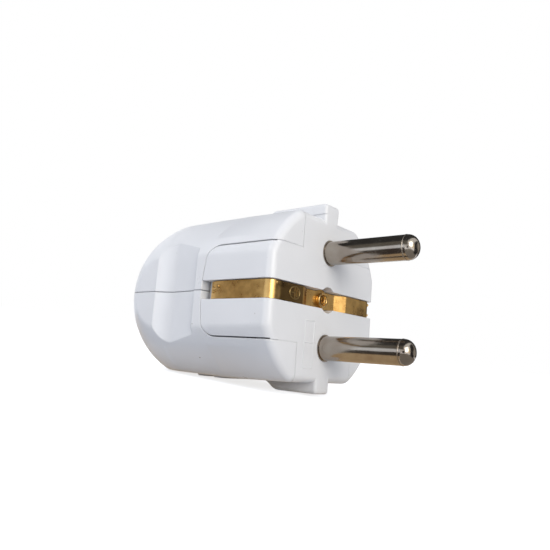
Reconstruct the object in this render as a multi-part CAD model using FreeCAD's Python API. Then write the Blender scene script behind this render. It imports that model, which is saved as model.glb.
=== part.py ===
import FreeCAD, Part
import functools
import math
import os
from FreeCAD import Vector

# Rewirable type F mains plug with two round pins and two side earth contacts, in millimetres.
# Origin: centre of the engagement face, between the pins.
# +X runs along the pins towards the socket, +Z from pin to pin, Y across the earth contacts.

# Pins
pin_diameter = 4.8
pin_length = 19.0
pin_pitch = 19.0
pin_tip_radius = 1.9
pin_collar_diameter = 5.2
pin_collar_rise = 0.15

# Outside of the body
body_diameter = 37.8
body_height = 33.8
body_width = 35.4
body_length = 45.0
flat_draft = 0.7
front_taper = 1.6
taper_length = 15.0
flat_blend = 3.0
front_edge_radius = 1.6
dome_length = 14.0
dome_depth = 7.5

# Walls
shell_wall = 2.0
carrier_skin = 2.3
front_plate = 3.2
finger_wall = 1.6
finger_front = 2.0
parting_gap = 0.12

# Cross-shaped contact carrier
arm_width = 17.5
arm_length = 18.0
arm_corner = 3.0
arm_bulge = 0.6
side_slit = 0.24
rear_slit = 0.15
front_seam = 0.06
seam_lip = 0.5

# Guide ribs on the carrier: height over the axis, length of the flat and of the ramp behind it
rib_width = 4.5
upper_rib = (19.5, 13.4, 3.5)
lower_rib = (18.45, 9.6, 4.6)
rib_edge_radius = 0.7
rib_cap_foot = 17.3
rib_cap_ledge = 0.15

# Finger grips in the sides of the shells
grip_setback = 2.3
grip_step = 0.9
grip_floor_length = 7.7
grip_depth = 2.0
grip_rear_radius = 8.0
grip_rear_sweep = 60.0
grip_lip_radius = 0.5

# Slightly flattened corners of the shells between the finger grips
corner_depth = 0.35
corner_start = 17.3
corner_length = 13.0
corner_slope = 20.0

# Grip ridges across the top and the bottom
ridge_width = 3.6
ridge_length = 15.2
ridge_height = 0.4
ridge_pitch = 4.9
ridge_setback = 4.0
ridge_edge_radius = 0.3

# Earth strap, one bent strip with an eye in the middle
strap_width = 3.4
strap_thickness = 0.8
strap_eye_diameter = 4.4
strap_eye_depth = 1.85
strap_eye_flat = 4.73
strap_shoulder_depth = 0.5
strap_shoulder = 7.25
strap_side_recess = 0.7
strap_bend_radius = 1.6
strap_arm_length = 14.3
strap_tip_length = 2.0
strap_tip_angle = 16.0
strap_side_gap = 0.15
slot_depth = 2.5
slot_backing = 1.3
eye_pocket_diameter = 5.2

# Terminals
terminal_width = 7.0
terminal_height = 7.0
terminal_offset = 0.4
terminal_screw_setback = 6.0
wire_hole_diameter = 3.2
wire_hole_depth = 9.0
cheek_wall = 1.2
earth_block_width = 8.0
earth_block_height = 6.4
earth_block_length = 9.0
earth_pad = 2.0
earth_pad_margin = 1.2
washer_thickness = 1.0
washer_margin = 0.5

# Screws: shank diameter, head diameter, head height; the recess and crown are shares of the head
terminal_screw = (2.9, 5.0, 1.9)
earth_screw_size = (1.9, 3.0, 0.8)
wire_screw = (2.9, 5.4, 2.0)
clamp_screw_size = (2.9, 5.2, 2.0)
shell_screw_size = (2.9, 5.0, 2.0)
earth_screw_reach = 4.0
wire_screw_reach = 4.4
clamp_screw_reach = 7.0
shell_screw_reach = 9.0
recess_span = 0.62
recess_slot = 0.22
recess_depth = 0.6
crown_round = 0.45

# Cord inlet, clamp and the screws that hold the shells together
inlet_diameter = 8.6
inlet_length = 4.0
inlet_chamfer = 0.8
clamp_setback = 3.5
clamp_width = 4.8
clamp_post_diameter = 5.4
clamp_seat = 1.2
clamp_lug = 3.0
clamp_arch = 2.1
saddle_width = 2.5
shell_screw_gap = 6.5
shell_screw_spacing = 11.8
boss_wall = 0.9
head_seat = 11.0

# Tongues that lock the carrier between the shells
tongue_thickness = 2.1
tongue_root = 5.0
tongue_reach = 4.4
lock_setback = 1.5
lock_width = 1.4
lock_depth = 1.0

# Clearances
fit = 0.05
slip = 0.15
shank_clearance = 0.2
head_clearance = 0.3

# Modelling aids: how far cutting shapes run past the part, the smallest length that counts,
# and the angle that keeps the seam of the turned body away from the parting line
overcut = 2.0
tiny = 1e-4
seam_angle = 45.0

# Values worked out from the sizes above
radius = body_diameter / 2
beyond = radius + overcut
half_arm = arm_width / 2
half_gap_arm = half_arm + side_slit
shell_front = arm_length + rear_slit
grip_start = arm_length + grip_setback
front_half_height = (body_height / 2 - taper_length * math.tan(math.radians(flat_draft))
                     - taper_length * math.tan(math.radians(front_taper)))
cavity_half_width = body_width / 2 - grip_depth - shell_wall
pin_z = pin_pitch / 2
terminal_z = pin_z + terminal_offset
strap_side = body_width / 2 - strap_side_recess
slot_floor = body_width / 2 - slot_depth
eye_floor = strap_eye_depth + strap_thickness
pad_back = front_plate + earth_pad
clamp_x = -(body_length - inlet_length - clamp_setback)
shell_screw_x = clamp_x + shell_screw_gap
boss_diameter = shell_screw_size[1] + 2 * head_clearance + 2 * boss_wall
clamp_screw_spacing = inlet_diameter + 2 * clamp_arch + clamp_screw_size[1] + 2 * slip
tongue_half_height = half_arm - arm_corner - slip
terminal_screw_x = -(arm_length - terminal_screw_setback)
cheek_end = terminal_screw_x + terminal_screw[1] / 2 + head_clearance
AXIS = Vector(1, 0, 0)
ORIGIN = Vector(0, 0, 0)


def box(x_range, y_range, z_range):
    """Block between two values on each axis."""
    low = Vector(min(x_range), min(y_range), min(z_range))
    high = Vector(max(x_range), max(y_range), max(z_range))
    size = high - low
    return Part.makeBox(size.x, size.y, size.z, low)


def rod(diameter, start, end):
    """Cylinder from one point to another."""
    return Part.makeCylinder(diameter / 2, (end - start).Length, start, end - start)


def line(start, end):
    return Part.LineSegment(start, end).toShape()


def arc(start, middle, end):
    return Part.Arc(start, middle, end).toShape()


def prism(edges, direction):
    """Solid swept from a closed outline."""
    return Part.Face(Part.Wire(edges)).extrude(direction)


def mirrored_pair(shape, normal):
    """A shape and its mirror image through the origin."""
    return [shape, shape.mirror(ORIGIN, normal)]


def drafted_block(inset):
    """Block between the flats, which run in slightly to the rear; top and bottom also fall to the front."""
    slope = math.tan(math.radians(flat_draft))
    fall = math.tan(math.radians(front_taper))
    sections = []
    for x in (overcut, -taper_length, -body_length - overcut):
        y = body_width / 2 - inset + slope * x
        z = body_height / 2 - inset + slope * min(x, -taper_length) - fall * max(x + taper_length, 0)
        sections.append([Vector(x, y, z), Vector(x, -y, z), Vector(x, -y, -z), Vector(x, y, -z)])
    front, middle, rear = sections
    loops = [front, rear]
    for i, j in ((0, 1), (2, 3)):
        loops.append([front[i], front[j], middle[j], middle[i]])
        loops.append([middle[i], middle[j], rear[j], rear[i]])
    for i, j in ((1, 2), (3, 0)):
        loops.append([front[i], front[j], middle[j], rear[j], rear[i], middle[i]])
    faces = [Part.Face(Part.makePolygon(loop + loop[:1])) for loop in loops]
    return Part.Solid(Part.Shell(faces))


@functools.lru_cache(maxsize=None)
def envelope(inset, front):
    """Body outline turned about the axis and trimmed by the flats, moved inwards by inset."""
    dome_x = -(body_length - dome_length)
    rear_radius = radius - dome_depth
    rear_x = -(body_length - inset)
    centre = Vector(dome_x, rear_radius, 0)
    shoulder = Vector(dome_x, radius - inset, 0)
    rear_rim = Vector(rear_x, rear_radius, 0)
    ellipse = Part.Ellipse(rear_rim, shoulder, centre)
    dome = Part.ArcOfEllipse(ellipse, 0, math.pi / 2).toShape()
    front_centre = Vector(-front, 0, 0)
    front_rim = Vector(-front, radius - inset, 0)
    rear_centre = Vector(rear_x, 0, 0)
    edges = [line(rear_centre, rear_rim), dome, line(shoulder, front_rim),
             line(front_rim, front_centre), line(front_centre, rear_centre)]
    turned = Part.Face(Part.Wire(edges)).revolve(ORIGIN, AXIS, 360)
    turned.rotate(ORIGIN, AXIS, seam_angle)
    return turned.common(drafted_block(inset))


@functools.lru_cache(maxsize=None)
def blended_envelope(inset):
    """Body outline with its flats blended into the round corners."""
    body = envelope(inset, 0)
    flats = [f for f in body.Faces
             if isinstance(f.Surface, Part.Plane) and abs(f.normalAt(0, 0).x) < 0.5]
    long_edges = [e for f in flats for e in f.Edges if e.BoundBox.XLength > tiny]
    return body.makeFillet(flat_blend, long_edges)


def outer_body():
    """Whole outside of the plug body, with a rounded front edge."""
    body = blended_envelope(0)
    front_edges = [e for e in body.Edges if e.BoundBox.XMin > -tiny]
    return body.makeFillet(front_edge_radius, front_edges)


def arm(half_width, length, corner):
    """Prism through top and bottom whose outline is one arm pair of the carrier."""
    end = -(length - arm_bulge)
    turn = corner * (1 - math.sqrt(0.5))
    left = [Vector(overcut, -half_width, -beyond), Vector(end + corner, -half_width, -beyond),
            Vector(end + turn, -half_width + turn, -beyond), Vector(end, -half_width + corner, -beyond)]
    right = [Vector(p.x, -p.y, p.z) for p in left]
    edges = [line(left[0], left[1]), arc(left[1], left[2], left[3]),
             arc(left[3], Vector(-length, 0, -beyond), right[3]),
             arc(right[3], right[2], right[1]), line(right[1], right[0]), line(right[0], left[0])]
    return prism(edges, Vector(0, 0, 2 * beyond))


def cross(half_width, length, corner):
    """Both arm pairs of the carrier."""
    upright = arm(half_width, length, corner)
    sideways = upright.copy()
    sideways.rotate(ORIGIN, AXIS, 90)
    return upright.fuse(sideways)


def guide_rib(size, width):
    """Rib on top of the carrier that ends in an S-shaped ramp."""
    top, flat, ramp = size
    near = -width / 2
    foot = body_height / 2 - math.tan(math.radians(flat_draft)) * (flat + ramp)
    root = front_half_height - (carrier_skin + front_edge_radius) / 2
    start = Vector(-flat, near, top)
    end = Vector(-flat - ramp, near, foot)
    middle = (start + end) * 0.5
    bow = 2 * math.atan2(top - foot, ramp)
    bend = middle.distanceToPoint(start) / 2 / math.sin(bow / 2)
    upper = start + Vector(-bend * math.sin(bow / 2), 0, -bend * (1 - math.cos(bow / 2)))
    lower = end + Vector(bend * math.sin(bow / 2), 0, bend * (1 - math.cos(bow / 2)))
    front_top = Vector(0, near, top)
    front_root = Vector(0, near, root)
    rear_root = Vector(end.x, near, root)
    edges = [line(front_root, front_top), line(front_top, start), arc(start, upper, middle),
             arc(middle, lower, end), line(end, rear_root), line(rear_root, front_root)]
    rib = prism(edges, Vector(0, width, 0))
    rims = [e for e in rib.Edges if e.BoundBox.ZMin > middle.z - tiny
            or (e.BoundBox.XMin > -tiny and e.BoundBox.ZLength > rib_edge_radius)]
    return rib.makeFillet(rib_edge_radius, rims)


def guide_ribs():
    """Upper rib, whose cap stands out over its stem, and the lower rib."""
    stem = guide_rib(upper_rib, rib_width)
    cap_zone = box((-beyond, overcut), (-beyond, beyond), (rib_cap_foot, beyond))
    cap = guide_rib(upper_rib, rib_width + 2 * rib_cap_ledge).common(cap_zone)
    lower = guide_rib(lower_rib, rib_width).mirror(ORIGIN, Vector(0, 0, 1))
    return [stem.fuse(cap), lower]


def strip_points(shift):
    """Corner points of the half strap, on its outer face moved inwards by shift."""
    ramp = math.atan2(strap_eye_depth - strap_shoulder_depth, strap_shoulder - strap_eye_flat)
    mitre = shift * math.tan(ramp / 2)
    tip = math.radians(strap_tip_angle)
    tip_mitre = shift * math.tan(tip / 2)
    side = strap_side - shift
    arm_end = -strap_arm_length
    return [Vector(-strap_eye_depth - shift, 0, 0),
            Vector(-strap_eye_depth - shift, strap_eye_flat + mitre, 0),
            Vector(-strap_shoulder_depth - shift, strap_shoulder + mitre, 0),
            Vector(-strap_shoulder_depth - shift, side, 0),
            Vector(arm_end + tip_mitre, side, 0),
            Vector(arm_end - strap_tip_length * math.cos(tip) + shift * math.sin(tip),
                   strap_side - strap_tip_length * math.sin(tip) - shift * math.cos(tip), 0)]


def strip_edges(points, bend_radius):
    """Half strap outline from the eye to the tip, with its corner rounded."""
    corner = points[3]
    before = corner + Vector(0, -bend_radius, 0)
    after = corner + Vector(-bend_radius, 0, 0)
    turn = bend_radius * (1 - math.sqrt(0.5))
    middle = corner + Vector(-turn, -turn, 0)
    return [line(points[0], points[1]), line(points[1], points[2]), line(points[2], before),
            arc(before, middle, after), line(after, points[4]), line(points[4], points[5])]


def earth_strap():
    """Bent brass strip that joins both side contacts, with an eye for its screw."""
    outer = strip_points(0)
    inner = strip_points(strap_thickness)
    edges = strip_edges(outer, strap_bend_radius)
    edges.append(line(outer[5], inner[5]))
    edges += strip_edges(inner, strap_bend_radius - strap_thickness)[::-1]
    edges.append(line(inner[0], outer[0]))
    half = Part.Face(Part.Wire(Part.__sortEdges__(edges))).extrude(Vector(0, 0, strap_width))
    half.translate(Vector(0, 0, -strap_width / 2))
    eye_front = Vector(-strap_eye_depth, 0, 0)
    eye_back = Vector(-eye_floor, 0, 0)
    eye = rod(strap_eye_diameter, eye_back, eye_front)
    strap = eye.fuse(mirrored_pair(half, Vector(0, 1, 0))).removeSplitter()
    hole_size = earth_screw_size[0] + 2 * shank_clearance
    hole = rod(hole_size, eye_back - AXIS * overcut, eye_front + AXIS * overcut)
    return strap.cut(hole)


def strap_channel():
    """Room for the strap in the carrier: channel, ramps, side slots and eye pocket."""
    floor = strip_points(strap_thickness + fit)
    far = arm_length + overcut
    points = [Vector(overcut, 0, 0), floor[0], floor[1], floor[2], Vector(floor[2].x, slot_floor, 0),
              Vector(-far, slot_floor, 0), Vector(-far, beyond, 0), Vector(overcut, beyond, 0)]
    half_width = strap_width / 2 + strap_side_gap
    half = Part.Face(Part.makePolygon(points + points[:1])).extrude(Vector(0, 0, 2 * half_width))
    half.translate(Vector(0, 0, -half_width))
    pocket = rod(eye_pocket_diameter, Vector(-eye_floor - fit, 0, 0), AXIS * overcut)
    return pocket.fuse(mirrored_pair(half, Vector(0, 1, 0)))


def tongue():
    """Lug on a side arm that the shells lock behind, with the backing of the strap slot."""
    outside = cavity_half_width - slip
    inside = outside - tongue_thickness
    skin_inside = body_width / 2 - carrier_skin
    tall = (-tongue_half_height, tongue_half_height)
    root_x = (-(arm_length - arm_bulge), -(arm_length - tongue_root))
    root = box(root_x, (inside, skin_inside + carrier_skin / 2), tall)
    blade = box((-(arm_length + tongue_reach), root_x[1]), (inside, outside), tall)
    groove_x = (-(arm_length + lock_setback + lock_width), -(arm_length + lock_setback))
    groove = box(groove_x, (outside - lock_depth, outside + overcut), (-beyond, beyond))
    half = strap_width / 2 + strap_side_gap + slot_backing
    backing = box((-(arm_length - tongue_root) - fit, -front_plate + fit),
                  (slot_floor - slot_backing, skin_inside + carrier_skin / 2), (-half, half))
    return root.fuse([blade, backing]).cut(groove)


def pin_cheeks():
    """Two walls behind the front plate that keep a terminal from turning."""
    low = terminal_z - terminal_height / 2
    high = body_height / 2 - carrier_skin / 2
    near = terminal_width / 2 + slip
    wall = box((cheek_end, -front_plate + fit),
               (near, near + cheek_wall), (low, high))
    return mirrored_pair(wall, Vector(0, 1, 0))


def terminal_room(side):
    """Space into which a terminal slides from the rear, for the upper (1) or lower (-1) place."""
    half_width = terminal_width / 2 + slip
    half_height = terminal_height / 2 + slip
    z = side * terminal_z
    return box((-arm_length - overcut, -front_plate), (-half_width, half_width),
               (z - half_height, z + half_height))


def contact_carrier(body):
    """Moulded insert: front plate, four curved arms, guide ribs, strap channel and terminal seats."""
    insert = body.common(cross(half_arm, arm_length, arm_corner))
    insert = insert.cut(envelope(carrier_skin, front_plate))
    lip_zone = box((-seam_lip, overcut), (-beyond, beyond), (-beyond, beyond))
    lip = body.common(cross(half_gap_arm - front_seam, arm_length, arm_corner)).common(lip_zone)
    pad_y = strap_shoulder + earth_pad_margin
    pad_z = earth_block_height / 2 + earth_pad_margin
    pad = box((-pad_back, -front_plate + fit), (-pad_y, pad_y), (-pad_z, pad_z))
    additions = [lip, pad]
    additions += guide_ribs()
    additions += mirrored_pair(tongue(), Vector(0, 1, 0))
    for cheek in pin_cheeks():
        additions += mirrored_pair(cheek, Vector(0, 0, 1))
    insert = insert.fuse(additions)
    screw_hole = rod(earth_screw_size[0] + 2 * shank_clearance, Vector(-beyond, 0, 0), AXIS * overcut)
    cuts = [strap_channel(), screw_hole, terminal_room(1), terminal_room(-1)]
    for z in (pin_z, -pin_z):
        seat = pin_collar_diameter + 2 * fit
        cuts.append(rod(seat, Vector(-front_plate - overcut, 0, z), Vector(overcut, 0, z)))
    return insert.cut(cuts).removeSplitter()


def grip_cut():
    """Scoop for a finger in one side: small step, sloping floor and a round rear slope."""
    side = body_width / 2
    start = -grip_start
    floor_end = start - grip_floor_length
    floor = side - grip_depth
    centre = Vector(floor_end, floor + grip_rear_radius, 0)
    sweep = math.radians(grip_rear_sweep)
    rise = [centre + Vector(-grip_rear_radius * math.sin(a), -grip_rear_radius * math.cos(a), 0)
            for a in (0, sweep / 2, sweep)]
    lip = grip_lip_radius
    turn = lip * (1 - math.sqrt(0.5))
    lip_points = [Vector(start + lip, side, 0), Vector(start + turn, side - turn, 0),
                  Vector(start, side - lip, 0)]
    foot = Vector(start, side - grip_step, 0)
    above = [Vector(rise[2].x, beyond, 0), Vector(start + lip, beyond, 0)]
    edges = [arc(*lip_points), line(lip_points[2], foot), line(foot, rise[0]), arc(*rise),
             line(rise[2], above[0]), line(above[0], above[1]), line(above[1], lip_points[0])]
    cut = prism(edges, Vector(0, 0, 2 * beyond))
    cut.translate(Vector(0, 0, -beyond))
    return cut


def corner_flats():
    """Cuts that flatten the four round corners beside the grips, with gently sloping ends."""
    level = radius - corner_depth
    run = (beyond - level) / math.tan(math.radians(corner_slope))
    front = -corner_start
    rear = front - corner_length
    points = [Vector(front, level, -beyond), Vector(rear, level, -beyond),
              Vector(rear - run, beyond, -beyond), Vector(front + run, beyond, -beyond)]
    block = Part.Face(Part.makePolygon(points + points[:1])).extrude(Vector(0, 0, 2 * beyond))
    flats = []
    for turn in (45, 135, 225, 315):
        flat = block.copy()
        flat.rotate(ORIGIN, AXIS, turn)
        flats.append(flat)
    return flats


def shell_cavity():
    """Room inside the shells: behind the carrier, behind its arms and in the corner fingers."""
    inside = envelope(shell_wall, finger_front)
    rear = box((-(body_length - inlet_length), -shell_front),
               (-cavity_half_width, cavity_half_width), (-beyond, beyond))
    behind_x = (-shell_front - fit, -(shell_front - arm_bulge - arm_corner - side_slit - fit))
    upright = box(behind_x, (-half_arm, half_arm), (-beyond, beyond))
    sideways = box(behind_x, (-beyond, beyond), (-half_arm, half_arm))
    inner_edge = half_gap_arm + finger_wall
    rooms = [rear, upright, sideways]
    for y in (1, -1):
        for z in (1, -1):
            rooms.append(box((-shell_front - fit, -finger_front), (y * inner_edge, y * beyond),
                             (z * inner_edge, z * beyond)))
    return [inside.common(room) for room in rooms]


def grip_ridges(side):
    """Two low bars with round ends across one flat."""
    grown = envelope(-ridge_height, 0)
    core = envelope(shell_wall / 2, 0)
    half = (ridge_length - ridge_width) / 2
    height = Vector(0, 0, side * beyond)
    ridges = []
    for index in range(2):
        middle = -(arm_length + ridge_setback + index * ridge_pitch)
        span = (middle - ridge_width / 2, middle + ridge_width / 2)
        ends = [Vector(middle, y, 0) for y in (half, -half)]
        bar = box(span, (-half, half), (0, height.z)).fuse([rod(ridge_width, p, p + height) for p in ends])
        bar = bar.removeSplitter().common(grown)
        rims = [e for e in bar.Edges if abs(e.BoundBox.Center.z) > body_height / 2 - shell_wall]
        ridges.append(bar.makeFillet(ridge_edge_radius, rims).cut(core))
    return ridges


def half_shell(body, side):
    """One half of the shell; side is 1 for the upper half and -1 for the lower half."""
    whole = (-body_length - overcut, overcut)
    wide = (-beyond, beyond)
    half = box(whole, wide, (side * parting_gap / 2, side * 2 * beyond))
    shell = body.cut(cross(half_gap_arm, shell_front, arm_corner + side_slit)).common(half)
    shell = shell.cut(shell_cavity())
    fill = body.common(half)
    shell = shell.fuse([fill.common(piece) for piece in inner_features(side)] + grip_ridges(side))
    shell = shell.cut(mirrored_pair(grip_cut(), Vector(0, 1, 0)) + corner_flats())
    return shell.cut(inlet_cut() + screw_cuts(side)).removeSplitter()


def inner_features(side):
    """Screw bosses, locking ribs, pin stops and, in the lower half, the cord saddle and its posts."""
    deep = side * 2 * beyond
    features = []
    for y in (1, -1):
        boss_at = Vector(shell_screw_x, y * shell_screw_spacing / 2, 0)
        features.append(rod(boss_diameter, boss_at, boss_at + Vector(0, 0, deep)))
        lock_x = (-(arm_length + lock_setback + lock_width - slip),
                  -(arm_length + lock_setback + slip))
        lock_y = (y * (cavity_half_width - lock_depth), y * (cavity_half_width + fit))
        features.append(box(lock_x, lock_y, (0, side * (tongue_half_height - slip))))
        stop_x = (-(shell_front + shell_wall), -shell_front)
        stop_y = (y * wire_hole_diameter / 2, y * terminal_width / 2)
        features.append(box(stop_x, stop_y, (side * (terminal_z - terminal_height / 2), deep)))
    if side < 0:
        seat = -clamp_seat
        post = clamp_post_diameter
        for y in (clamp_screw_spacing / 2, -clamp_screw_spacing / 2):
            features.append(rod(post, Vector(clamp_x, y, seat), Vector(clamp_x, y, deep)))
        saddle = box((clamp_x - saddle_width / 2, clamp_x + saddle_width / 2),
                     (-clamp_screw_spacing / 2, clamp_screw_spacing / 2), (seat, deep))
        cord = rod(inlet_diameter, Vector(clamp_x - beyond, 0, 0), Vector(clamp_x + beyond, 0, 0))
        features.append(saddle.cut(cord))
    return features


def inlet_cut():
    """Round cord inlet in the rear wall, shared by both halves, with a chamfered mouth."""
    bore = inlet_diameter / 2
    rear = Vector(-body_length, 0, 0)
    through = rod(inlet_diameter, rear - AXIS * overcut, rear + AXIS * (inlet_length + overcut))
    mouth = Part.makeCone(bore + inlet_chamfer, bore, inlet_chamfer, rear, AXIS)
    return [through, mouth]


def screw_cuts(side):
    """Holes for the shell screws and, in the lower half, for the clamp screws."""
    shank = shell_screw_size[0]
    head = shell_screw_size[1]
    cuts = []
    for y in (shell_screw_spacing / 2, -shell_screw_spacing / 2):
        at = Vector(shell_screw_x, y, 0)
        if side < 0:
            cuts.append(rod(shank + 2 * fit, at - Vector(0, 0, shell_screw_reach + overcut), at))
        else:
            seat = at + Vector(0, 0, head_seat)
            cuts.append(rod(shank + 2 * shank_clearance, at, seat))
            cuts.append(rod(head + 2 * head_clearance, seat, seat + Vector(0, 0, beyond)))
    if side < 0:
        for y in (clamp_screw_spacing / 2, -clamp_screw_spacing / 2):
            top = Vector(clamp_x, y, -clamp_seat)
            depth = Vector(0, 0, clamp_screw_reach + overcut)
            cuts.append(rod(clamp_screw_size[0] + 2 * fit, top - depth, top))
    return cuts


def screw(size, seat, direction, reach):
    """Pan-head screw with a cross recess: the head seats at a point, the shank runs along direction."""
    shank, head, height = size
    body = rod(shank, seat, seat + direction * reach)
    disc = rod(head, seat - direction * height, seat)
    crown = [e for e in disc.Edges if isinstance(e.Curve, Part.Circle)
             and (e.Curve.Center - seat).Length > height / 2]
    disc = disc.makeFillet(height * crown_round, crown)
    top = seat - direction * height
    span = head * recess_span / 2
    slot = head * recess_slot / 2
    depth = (-height * recess_depth, height * recess_depth)
    recess = box((-span, span), (-slot, slot), depth).fuse(box((-slot, slot), (-span, span), depth))
    recess.Placement = FreeCAD.Placement(top, FreeCAD.Rotation(Vector(0, 0, 1), direction))
    return body.fuse(disc).cut(recess).removeSplitter()


def pin(side):
    """Round contact pin with its collar and square terminal, for the upper (1) or lower (-1) place."""
    axis_point = Vector(0, 0, side * pin_z)
    tip = rod(pin_diameter, axis_point, axis_point + AXIS * pin_length)
    end = [e for e in tip.Edges if e.BoundBox.XMin > pin_length - tiny]
    tip = tip.makeFillet(pin_tip_radius, end)
    collar = rod(pin_collar_diameter, axis_point - AXIS * front_plate, axis_point + AXIS * pin_collar_rise)
    half_width = terminal_width / 2
    z = side * terminal_z
    block = box((-arm_length, -front_plate), (-half_width, half_width),
                (z - terminal_height / 2, z + terminal_height / 2))
    wire = rod(wire_hole_diameter, Vector(-arm_length - overcut, 0, z),
               Vector(wire_hole_depth - arm_length, 0, z))
    at = Vector(terminal_screw_x, -half_width, z)
    hole = rod(terminal_screw[0] + 2 * fit, at - Vector(0, overcut, 0), at + Vector(0, half_width, 0))
    return tip.fuse([collar, block]).cut([wire, hole]).removeSplitter()


def pin_terminal_screw(side):
    """Screw in the side of a terminal, long enough to press on the wire in its hole."""
    seat = Vector(terminal_screw_x, -terminal_width / 2, side * terminal_z)
    return screw(terminal_screw, seat, Vector(0, 1, 0), terminal_width / 2 - wire_hole_diameter / 4)


def earth_terminal():
    """Brass block behind the front plate; the strap is screwed to its front, the wire to its rear."""
    half_y = earth_block_width / 2
    half_z = earth_block_height / 2
    rear = -(pad_back + earth_block_length)
    block = box((rear, -pad_back), (-half_y, half_y), (-half_z, half_z))
    front_hole = rod(earth_screw_size[0] + 2 * fit, Vector(-pad_back - earth_screw_reach, 0, 0), ORIGIN)
    rear_hole = rod(wire_screw[0] + 2 * fit, Vector(rear - overcut, 0, 0),
                    Vector(rear + wire_screw_reach, 0, 0))
    return block.cut([front_hole, rear_hole])


def wire_washer():
    """Square washer that presses the earth wire on its terminal."""
    half_y = earth_block_width / 2 - washer_margin
    half_z = earth_block_height / 2 - washer_margin
    front = -(pad_back + earth_block_length)
    plate = box((front - washer_thickness, front), (-half_y, half_y), (-half_z, half_z))
    hole = rod(wire_screw[0] + 2 * shank_clearance, Vector(front - washer_thickness - overcut, 0, 0), ORIGIN)
    return plate.cut(hole)


def cord_clamp():
    """Arched bar that presses the cord into the saddle of the lower shell."""
    x_range = (clamp_x - clamp_width / 2, clamp_x + clamp_width / 2)
    reach = clamp_screw_spacing / 2 + clamp_post_diameter / 2
    bottom = -clamp_seat
    lugs = box(x_range, (-reach, reach), (bottom, bottom + clamp_lug))
    start = Vector(x_range[0], 0, 0)
    end = Vector(x_range[1], 0, 0)
    arch = rod(inlet_diameter + 2 * clamp_arch, start, end)
    arch = arch.common(box(x_range, (-beyond, beyond), (bottom, beyond)))
    bar = lugs.fuse(arch).cut(rod(inlet_diameter, start - AXIS * overcut, end + AXIS * overcut))
    hole = clamp_screw_size[0] + 2 * shank_clearance
    holes = [rod(hole, Vector(clamp_x, y, -beyond), Vector(clamp_x, y, beyond))
             for y in (clamp_screw_spacing / 2, -clamp_screw_spacing / 2)]
    return bar.cut(holes).removeSplitter()


def save(name, shape):
    """Write one piece and report its size."""
    solids = shape.Solids
    volume = sum(solid.Volume for solid in solids)
    print(f"{name}: {len(solids)} solid, {volume:.1f} mm3, valid {shape.isValid()}")
    shape.exportStep(f"parts/{name}.step")


def save_screws():
    """Write the screws of the earth strap, the earth wire, the cord clamp and the shells."""
    strap_seat = Vector(-strap_eye_depth, 0, 0)
    strap_reach = pad_back - strap_eye_depth + earth_screw_reach - fit
    save("earth_screw", screw(earth_screw_size, strap_seat, -AXIS, strap_reach))
    wire_seat = Vector(-(pad_back + earth_block_length + washer_thickness), 0, 0)
    wire_reach = washer_thickness + wire_screw_reach - fit
    save("earth_wire_screw", screw(wire_screw, wire_seat, AXIS, wire_reach))
    for name, y in (("left", 1), ("right", -1)):
        lug_top = Vector(clamp_x, y * clamp_screw_spacing / 2, clamp_lug - clamp_seat)
        clamp_reach = clamp_lug + clamp_screw_reach
        save(f"clamp_screw_{name}", screw(clamp_screw_size, lug_top, Vector(0, 0, -1), clamp_reach))
        shell_seat = Vector(shell_screw_x, y * shell_screw_spacing / 2, head_seat)
        shell_reach = head_seat + shell_screw_reach
        save(f"shell_screw_{name}", screw(shell_screw_size, shell_seat, Vector(0, 0, -1), shell_reach))


def main():
    os.makedirs("parts", exist_ok=True)
    body = outer_body()
    save("contact_carrier", contact_carrier(body))
    save("upper_shell", half_shell(body, 1))
    save("lower_shell", half_shell(body, -1))
    save("live_pin", pin(1))
    save("neutral_pin", pin(-1))
    save("live_terminal_screw", pin_terminal_screw(1))
    save("neutral_terminal_screw", pin_terminal_screw(-1))
    save("earth_strap", earth_strap())
    save("earth_terminal", earth_terminal())
    save("earth_wire_washer", wire_washer())
    save("cord_clamp", cord_clamp())
    save_screws()


main()
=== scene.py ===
# %% [markdown]
# # Dressing a type F plug
# The plug's solids arrive packed at their real size: a white two-part shell, a white cross-shaped
# carrier, two nickel-plated pins, a bent brass earth strap and the screws that hold them. This lesson
# gives every surface its finish, adds the stamped and embossed marks, and sets up a plain studio around
# the plug. Nothing that was built as a solid is moved or resized.

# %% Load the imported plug
import math

import bpy
from mathutils import Matrix, Vector


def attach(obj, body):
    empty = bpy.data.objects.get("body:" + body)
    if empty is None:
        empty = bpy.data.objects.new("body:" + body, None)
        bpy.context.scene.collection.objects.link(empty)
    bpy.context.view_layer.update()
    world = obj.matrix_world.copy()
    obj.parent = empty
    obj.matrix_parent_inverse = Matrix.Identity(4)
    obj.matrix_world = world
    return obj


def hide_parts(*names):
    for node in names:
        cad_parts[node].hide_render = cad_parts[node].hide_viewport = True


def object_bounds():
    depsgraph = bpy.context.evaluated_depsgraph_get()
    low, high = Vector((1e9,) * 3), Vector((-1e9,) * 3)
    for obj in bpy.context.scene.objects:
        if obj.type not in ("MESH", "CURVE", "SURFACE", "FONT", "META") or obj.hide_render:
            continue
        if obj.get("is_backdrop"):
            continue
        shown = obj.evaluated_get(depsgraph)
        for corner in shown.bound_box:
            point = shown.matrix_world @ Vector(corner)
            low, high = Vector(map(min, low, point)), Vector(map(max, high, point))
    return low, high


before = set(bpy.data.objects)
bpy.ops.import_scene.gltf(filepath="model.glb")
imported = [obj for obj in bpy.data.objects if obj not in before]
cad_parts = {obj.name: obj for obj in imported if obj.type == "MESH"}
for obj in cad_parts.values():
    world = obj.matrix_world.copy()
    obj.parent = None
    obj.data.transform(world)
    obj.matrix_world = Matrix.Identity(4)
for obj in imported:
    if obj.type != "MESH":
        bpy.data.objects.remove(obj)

MM = 0.001
cad_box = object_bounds()
print("pieces in the frame:", len(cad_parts))

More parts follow.
